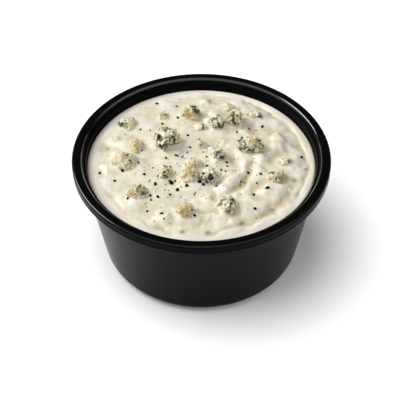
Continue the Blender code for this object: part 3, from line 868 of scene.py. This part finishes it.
# %% Patches on the crumbs
MOULD_PATCHES = {
    1: [(0.2, 0.3, 0.6, 0.3)],
    2: [(0.5, -0.2, 0.35, 1.0), (0.7, 0.5, 0.25, 0.7)],
    3: [(-0.4, 0.9, 0.2, 0.9), (0.5, 0.1, 0.25, 0.8), (0.6, -0.5, 0.3, 1.2), (-0.7, -0.5, 0.2, 0.6)],
    4: [(0.25, 0.6, 0.35, 1.3), (0.5, 0.1, 0.4, 0.9), (0.4, 0.8, 0.3, 0.9), (0.7, -0.3, 0.4, 0.5)],
    5: [(-0.2, 0.4, 0.25, 1.3), (-0.2, 0.0, 0.3, 1.5), (0.0, -0.4, 0.3, 1.1)],
    6: [(-0.5, -0.3, 0.45, 1.2), (-0.8, -0.3, 0.25, 0.8), (0.4, 0.6, 0.2, 0.9), (-0.1, 0.8, 0.2, 0.5)],
    7: [(0.0, 0.4, 0.25, 1.0), (-0.4, 0.0, 0.3, 0.9), (0.6, -0.3, 0.3, 1.1),
        (0.3, -0.6, 0.3, 1.0), (-0.3, -0.6, 0.25, 0.9)],
    8: [(0.5, 0.3, 0.3, 0.8), (0.5, -0.3, 0.4, 1.0)],
    9: [(-0.5, 0.2, 0.35, 1.0), (-0.1, 0.1, 0.2, 1.0), (0.1, 0.8, 0.3, 0.9), (0.6, 0.0, 0.35, 1.0),
        (-0.9, -0.5, 0.2, 0.8), (0.0, -0.3, 0.2, 1.1), (-0.2, -0.7, 0.3, 1.3), (0.2, -0.8, 0.25, 1.1),
        (0.7, -0.6, 0.3, 1.0)],
    10: [(-0.4, -0.1, 0.25, 1.1), (0.4, 0.4, 0.25, 0.9)],
    12: [(-0.7, 0.2, 0.4, 0.75), (-0.7, -0.3, 0.35, 0.75), (-0.3, -0.2, 0.3, 0.9), (0.1, -0.6, 0.3, 1.3),
         (0.6, 0.4, 0.2, 0.9), (0.9, 0.0, 0.2, 1.0)],
    13: [(-0.2, 0.3, 0.3, 1.3), (-0.5, -0.5, 0.4, 1.2), (0.3, 0.5, 0.3, 0.9), (0.4, -0.4, 0.4, 1.0)],
    14: [(0.2, 0.8, 0.2, 0.8), (0.7, -0.5, 0.25, 0.9)],
    15: [(0.5, 0.2, 0.3, 1.2), (-0.4, 0.6, 0.2, 0.6)],
    17: [(-0.6, 0.7, 0.2, 0.9), (-0.9, -0.2, 0.2, 0.7), (-0.3, -0.1, 0.25, 1.1),
         (0.0, -0.5, 0.35, 1.0), (0.4, 0.0, 0.25, 0.8)],
    19: [(-0.4, 0.3, 0.25, 1.1), (-0.7, 0.1, 0.2, 0.6), (0.0, -0.6, 0.3, 0.9)],
    20: [(-0.8, -0.1, 0.25, 1.5), (-0.5, -0.7, 0.4, 1.6), (0.4, -0.1, 0.3, 1.5),
         (0.1, -0.4, 0.2, 1.3), (0.9, 0.3, 0.2, 1.0)],
    21: [(0.1, 0.6, 0.25, 1.0), (0.2, 0.0, 0.25, 1.0), (0.6, -0.4, 0.35, 0.9), (0.8, 0.1, 0.25, 0.8)],
    22: [(0.4, 0.3, 0.3, 1.1), (0.4, -0.1, 0.25, 1.1), (-0.6, 0.1, 0.3, 0.8), (0.2, -0.6, 0.3, 0.8)],
    23: [(0.8, -0.1, 0.25, 0.8), (0.7, -0.5, 0.2, 0.6)],
}
# Tan patches: tan paste, and painted shade on the right-hand sides of the crumbs
TAN_AND_SHADE_PATCHES = {
    2: [(-0.5, 0.0, 0.7, 0.9)],
    4: [(-0.5, -0.3, 0.6, 1.0), (0.1, -0.4, 0.4, 0.8)],
    5: [(-0.8, 0.2, 0.4, 0.8), (0.5, 0.2, 0.5, 0.9), (-0.5, -0.5, 0.4, 0.7)],
    6: [(0.6, -0.1, 0.5, 0.5)],
    9: [(0.3, -0.4, 0.35, 0.5), (0.8, 0.1, 0.35, 0.8)],
    10: [(0.0, 0.0, 0.8, 1.0)],
    11: [(0.1, 0.0, 0.9, 1.0)],
    12: [(0.2, 0.4, 0.4, 0.8), (0.5, 0.1, 0.4, 0.9)],
    13: [(0.2, 0.0, 0.3, 0.7), (0.7, 0.1, 0.3, 0.7)],
    14: [(0.1, 0.5, 0.4, 1.0), (-0.4, 0.3, 0.4, 0.5), (0.5, -0.4, 0.5, 0.7)],
    16: [(0.2, -0.2, 0.8, 0.6)],
    17: [(0.2, 0.0, 0.5, 0.9)],
    18: [(0.0, 0.4, 0.5, 1.0), (-0.2, -0.3, 0.5, 0.6), (0.3, 0.0, 0.4, 0.7)],
    19: [(0.5, -0.3, 0.5, 0.9), (0.6, 0.2, 0.4, 0.5)],
    21: [(-0.5, -0.2, 0.5, 1.0), (0.0, 0.1, 0.5, 0.9), (0.2, -0.4, 0.4, 0.8)],
    22: [(-0.5, 0.8, 0.3, 0.4)],
    23: [(-0.1, 0.0, 0.9, 1.0)],
}
# White patches: pale paste, and painted light on the lit tops and left sides of the crumbs
WHITE_AND_LIT_PATCHES = {
    3: [(-0.2, 0.2, 0.6, 1.0)],
    6: [(0.0, 0.2, 0.4, 0.6)],
    7: [(-0.3, 0.5, 0.4, 0.9), (0.2, -0.1, 0.25, 0.9), (-0.6, 0.0, 0.3, 0.8)],
    8: [(-0.4, 0.1, 0.5, 1.0)],
    9: [(-0.3, 0.1, 0.35, 1.0), (0.0, 0.4, 0.3, 1.0), (0.3, 0.6, 0.25, 0.9), (-0.6, -0.4, 0.25, 0.9)],
    12: [(-0.2, 0.8, 0.3, 0.7)],
    15: [(-0.1, -0.1, 0.5, 0.9)],
    19: [(-0.5, 0.5, 0.4, 0.9), (0.1, 0.5, 0.4, 0.8)],
    20: [(0.0, 0.5, 0.5, 1.0), (-0.5, 0.4, 0.3, 0.9), (0.1, -0.6, 0.2, 0.9), (0.6, 0.6, 0.3, 0.7)],
    22: [(0.1, 0.6, 0.3, 0.9), (-0.2, 0.0, 0.25, 0.8), (-0.1, -0.5, 0.3, 0.7)],
}
print("mould patches set by hand:", sum(len(patches) for patches in MOULD_PATCHES.values()))

# %% [markdown]
# The patches are stretched over a crumb as it is seen, and nudged by noise so that none stays round. Real
# mould follows the cracks, so creases and a net of noise add to it on veined crumbs. The coat of dip is
# thick at the foot, thins out upwards, and leaves the dry mould bare.

# %% Crumb paint
MOULD_SIZE = 1.3
PATCH_STRAY = 0.45
SPECK_SIZE = 0.45
CREASE_DEPTH = 0.05
COAT_HEIGHTS = {True: 0.45, False: 0.75}
THICKEST_MOULD = 1.5
BACK_SHARE = 0.35


def crumb_shares(points, sizes):
    """Where points lie across and along a crumb as it is seen, each from -1 to 1."""
    x, y, width, depth, height = sizes
    front = y - depth / 2
    back = y + BACK_SHARE * depth + height
    seen_x, seen_y = seen_place(points)
    return (seen_x - x) / (width / 2), (2 * seen_y - front - back) / (back - front)


def paint_crumb(crumb, points, number, veined, seed):
    """Paints mould, tan with painted shade, white with painted light, and the coat of dip on a crumb."""
    across, along = crumb_shares(points, CRUMBS[number - 1])
    crease = np.clip(hollows(crumb, points) / CREASE_DEPTH, -1, 1)
    cracks = cloudy(points, MOULD_SIZE, 4, seed + 20)
    fine = cloudy(points, SPECK_SIZE, 2, seed + 40)
    across = across + PATCH_STRAY * cloudy(points, MOULD_SIZE, 3, seed + 60)
    along = along + PATCH_STRAY * cloudy(points, MOULD_SIZE, 3, seed + 80)
    mould = blobs(across, along, MOULD_PATCHES.get(number, []))
    mould = mould * (1 + 0.5 * cracks + 0.5 * fine) + 0.15 * crease
    if veined:
        mould = np.maximum(mould, 0.2 * crease + 0.4 * cracks)
    # Tan: the paste's own tan, with painted shade on the right-hand sides and in the creases
    tan = blobs(across, along, TAN_AND_SHADE_PATCHES.get(number, [])) + 0.2 * cracks + 0.2 * crease
    # White: pale paste, with painted light on the lit tops and left sides
    white = blobs(across, along, WHITE_AND_LIT_PATCHES.get(number, [])) * (1 + 0.5 * fine)
    above = points[:, 2] - dip_level(points[:, 0], points[:, 1])
    coat = 1 - above / COAT_HEIGHTS[veined] + 0.3 * cracks + 0.3 * fine
    coat = np.clip(coat, 0, 1) * (1 - 0.7 * np.clip(mould, 0, 1))
    paint(crumb, "marks", mould / THICKEST_MOULD, tan, white, coat)


# %% [markdown]
# Blue cheese is a pale, moist paste of pressed curd, veined by blue-green mould that is nearly black where
# it is thick. The paste lets some light through, the mould is dry and matt, and the coat of dip at the foot
# has the dip's own colour, so that the crumb seems to sit in it.

# %% Cheese material
PASTE_GRAIN = 0.5

cheese, tree = new_material("blue cheese, veined paste")
place = add_node(tree, "ShaderNodeTexCoord").outputs["Object"]
marks = add_node(tree, "ShaderNodeAttribute", {"attribute_name": "marks"})
masks = add_node(tree, "ShaderNodeSeparateColor", Color=marks.outputs["Color"])
flecks = add_node(tree, "ShaderNodeTexNoise", Vector=place, Scale=1 / (PASTE_GRAIN * MM), Detail=3.0)
# The green strength mixes in tan paste and painted shade
paste = blend(tree, masks.outputs["Green"], linear("#dcd4b9"), linear("#b89e66"))
# The blue strength mixes in pale paste and painted light
pale = blend(tree, masks.outputs["Blue"], paste, linear("#ebe5d3"))
mould = masks.outputs["Red"]
cover = add_node(tree, "ShaderNodeMapRange", {"interpolation_type": "SMOOTHSTEP"}, Value=mould,
                 From_Min=0.12, From_Max=0.40)
growth = add_node(tree, "ShaderNodeMath", {"operation": "MULTIPLY_ADD"},
                  i0=flecks.outputs["Fac"], i1=0.6, i2=mould)
dark = add_node(tree, "ShaderNodeMapRange", Value=growth.outputs["Value"], From_Min=0.55, From_Max=1.0)
mould_tone = blend(tree, dark.outputs["Result"], linear("#868978"), linear("#12120b"))
mouldy = blend(tree, cover.outputs["Result"], pale, mould_tone)
coated = blend(tree, marks.outputs["Alpha"], mouldy, linear("#e6dfce"))
crumbly = add_node(tree, "ShaderNodeBump", Height=flecks.outputs["Fac"], Strength=0.4, Distance=0.08 * MM)
curd = add_node(tree, "ShaderNodeBsdfPrincipled", Base_Color=coated, IOR=1.45, Roughness=0.55,
                Specular_IOR_Level=0.4, Subsurface_Weight=0.25, Subsurface_Scale=0.0006,
                Subsurface_Radius=(1.0, 0.75, 0.5), Normal=crumbly.outputs["Normal"])
add_node(tree, "ShaderNodeOutputMaterial", Surface=curd.outputs["BSDF"])

# %% [markdown]
# Twenty-three crumbs stand clear of the dip. Fourteen are veined and craggy; nine are plain paste, broken
# in larger blocks, smoother and coated higher. Each is a piece of its own that stands for its packed crumb,
# so the loop shapes, roughens, paints and hands over one after the other, all from one seeded draw.

# %% Crumbs
PALE_CRUMBS = {1, 2, 10, 11, 14, 16, 18, 21, 23}
CRAGS = {True: 0.16, False: 0.07}

crumbs = []
draw = random.Random(11)
for number, sizes in enumerate(CRUMBS, start=1):
    veined = number not in PALE_CRUMBS
    seed = 3.0 * (number - 1)
    crumb = crumb_shape(sizes, veined, draw)
    points = roughen(crumb, CRAGS[veined], seed)
    paint_crumb(crumb, points, number, veined, seed)
    bpy.ops.object.shade_smooth()
    slot = "veined_cheese" if veined else "pale_cheese"
    hand_over(crumb, f"cheese_{number:02d}", cheese, slot, f"crumb_{number:02d}")
    crumbs.append(crumb)

# %% [markdown]
# Cracked pepper is broken corns: small angular chips with black skin and brown insides, and now and then a
# splinter of the skin. The main flecks and splinters lie where the photograph shows them, and finer dust is
# scattered round them by a seeded rule. A chip may lie on a crumb as well as on the dip, so each is placed
# by following the line of sight down to whatever it meets first.

# %% Places of the pepper
# x, y and width, as seen
FLECKS = [
    (-28.9, -5.9, 0.9), (-22.4, -4.8, 1.2), (-24.4, -9.1, 0.9), (-16.2, -6.3, 0.9), (-12.3, -7.1, 0.8),
    (-13.8, -3.7, 0.6), (-8.9, -3.4, 0.8), (-8.4, -10.0, 1.6), (-7.3, -9.2, 0.7), (-12.9, -10.4, 1.2),
    (-4.1, -11.0, 1.2), (-6.7, -12.6, 1.2), (-8.7, -14.6, 0.9), (-14.1, -15.0, 0.9), (-12.0, -15.5, 1.0),
    (-13.9, -16.7, 0.7), (-20.3, -16.1, 0.9), (-14.8, -21.1, 0.8), (-10.8, -22.0, 1.1), (-10.1, -23.8, 0.6),
    (-12.7, -24.8, 0.4), (-1.7, -22.7, 0.8), (-1.7, -13.7, 0.5), (-2.0, -14.6, 0.5), (-5.8, -11.6, 0.4),
    (-10.0, -10.6, 0.5), (-10.2, -12.7, 0.5), (-10.2, 0.4, 1.0), (-7.4, 1.6, 0.9), (-3.3, 5.1, 0.9),
    (-4.0, 10.3, 0.9), (-0.7, 8.5, 0.7), (0.5, 3.0, 0.6), (1.5, 1.0, 0.7), (-17.3, 3.7, 0.7),
    (-18.1, 13.1, 0.7), (-15.2, 12.7, 0.6), (-11.7, 15.7, 0.8), (-7.1, 18.5, 1.0), (-7.5, 23.9, 0.8),
    (-13.7, 25.3, 0.9), (18.1, 14.3, 1.0), (14.2, 13.2, 0.7), (16.2, 12.6, 0.5), (10.5, 11.8, 0.8),
    (11.7, 8.9, 0.7), (28.8, 0.8, 1.0), (1.6, -2.9, 0.8), (7.3, -1.4, 0.9), (7.4, -3.0, 0.7),
    (5.7, -4.6, 0.8), (6.8, -5.1, 0.7), (13.2, -5.7, 0.9), (16.7, -6.2, 0.9), (11.1, -9.4, 0.7),
    (12.2, -9.8, 0.5), (15.5, -10.0, 0.7), (10.8, -10.9, 0.6), (4.2, -11.3, 0.8), (18.4, -11.9, 1.4),
    (14.5, -14.7, 1.0), (14.6, -20.0, 1.1), (2.5, -22.9, 0.4), (-0.5, -9.5, 1.4), (0.5, -10.5, 1.1),
    (-0.5, -8.0, 0.8), (1.5, -9.5, 0.8),
]
# Splinters of the skin: x, y, width, length and angle in degrees
SPLINTERS = [
    (-18.0, -1.5, 0.5, 1.6, -60), (-20.5, -0.5, 0.5, 1.5, -50), (-5.5, 1.0, 0.4, 1.3, 50),
    (-4.0, 3.0, 0.4, 1.2, 65), (-7.0, 1.5, 0.6, 1.4, -30), (-14.5, -9.0, 0.3, 1.6, 65),
    (-10.5, -3.0, 0.4, 1.2, -60), (-2.0, -22.5, 0.5, 1.5, -50), (-9.0, -9.0, 0.5, 1.2, -40),
    (-7.5, -9.0, 0.4, 1.0, 70),
]
DUST_COUNT = 230
DUST_SIZES = (0.2, 0.45)
DUST_MIDDLE = (-3.0, -4.0)
DUST_SPREAD = 11.5
DUST_LIMIT = 29.5
CHIP_UNEVENNESS = (0.72, 1.18)


def surface_tree(pieces):
    """One search tree over the faces of several finished pieces."""
    corners, faces = [], []
    for piece in pieces:
        start = len(corners)
        corners += [vertex.co.copy() for vertex in piece.data.vertices]
        faces += [[start + i for i in face.vertices] for face in piece.data.polygons]
    return BVHTree.FromPolygons(corners, faces)


LINE_OF_SIGHT = Vector((0, math.cos(CAMERA_ELEVATION), -math.sin(CAMERA_ELEVATION)))
cheese_and_dip = surface_tree(crumbs + [dip])


def seen_surface(x, seen_y):
    """The place in millimetres where the line of sight through a place on the level plane meets the food."""
    start = Vector((x, seen_y, SEEN_LEVEL)) - 10 * LINE_OF_SIGHT
    place = cheese_and_dip.ray_cast(start * MM, LINE_OF_SIGHT)[0]
    return place / MM


def add_chip(place, size, subdivisions, draw, turn=None):
    """Adds one angular chip of (length, width, thickness), tumbled unless it is turned, and half sunk."""
    bpy.ops.mesh.primitive_ico_sphere_add(subdivisions=subdivisions, radius=0.5 * MM)
    chip = bpy.context.object
    if turn is None:
        pose = Euler([draw.uniform(0, math.tau) for _ in range(3)])
    else:
        pose = Euler((0, 0, math.radians(turn)))
    for vertex in chip.data.vertices:
        vertex.co *= Vector(size) * draw.uniform(*CHIP_UNEVENNESS)
        vertex.co.rotate(pose)
        vertex.co += place * MM
    return chip


# %% [markdown]
# Every chip starts as a small ball of triangles whose points are pulled in and out at random, which gives
# the flat, broken facets of a cracked corn. All chips become one mesh, since nobody picks up a fleck on its
# own.

# %% Pepper
draw = random.Random(5)
chips = []
for x, y, width in FLECKS:
    chips.append(add_chip(seen_surface(x, y), (1.1 * width, 0.85 * width, 0.8 * width), 2, draw))
for x, y, width, length, turn in SPLINTERS:
    chips.append(add_chip(seen_surface(x, y), (length, width, 0.6 * width), 2, draw, turn))
for _ in range(DUST_COUNT):
    x, y = draw.gauss(DUST_MIDDLE[0], DUST_SPREAD), draw.gauss(DUST_MIDDLE[1], DUST_SPREAD)
    size = draw.uniform(*DUST_SIZES)
    if math.hypot(x, y) < DUST_LIMIT:
        chips.append(add_chip(seen_surface(x, y), (size, size, 0.7 * size), 1, draw))
bpy.ops.object.select_all(action="DESELECT")
for chip in chips:
    chip.select_set(True)
bpy.context.view_layer.objects.active = chips[0]
bpy.ops.object.join()
pepper = bpy.context.object
print("pepper chips:", len(chips))

# %% [markdown]
# Black pepper is a dried berry: its wrinkled skin is nearly black and matt, and where it is cracked the
# inside shows brown. A noise of about half a millimetre turns some facets brown.

# %% Pepper material
BROWN_PATCH = 0.6

pepper_skin, tree = new_material("black pepper, cracked")
place = add_node(tree, "ShaderNodeTexCoord").outputs["Object"]
patches = add_node(tree, "ShaderNodeTexNoise", Vector=place, Scale=1 / (BROWN_PATCH * MM), Detail=2.0)
brown = add_node(tree, "ShaderNodeMapRange", Value=patches.outputs["Fac"],
                 From_Min=0.55, From_Max=0.75, To_Min=0.0, To_Max=1.0)
husk = blend(tree, brown.outputs["Result"], linear("#0c0907"), linear("#3a2819"))
corn = add_node(tree, "ShaderNodeBsdfPrincipled", Base_Color=husk, IOR=1.45, Roughness=0.7,
                Specular_IOR_Level=0.1)
add_node(tree, "ShaderNodeOutputMaterial", Surface=corn.outputs["BSDF"])
hand_over(pepper, "cracked_pepper", pepper_skin, "dip", "dip")
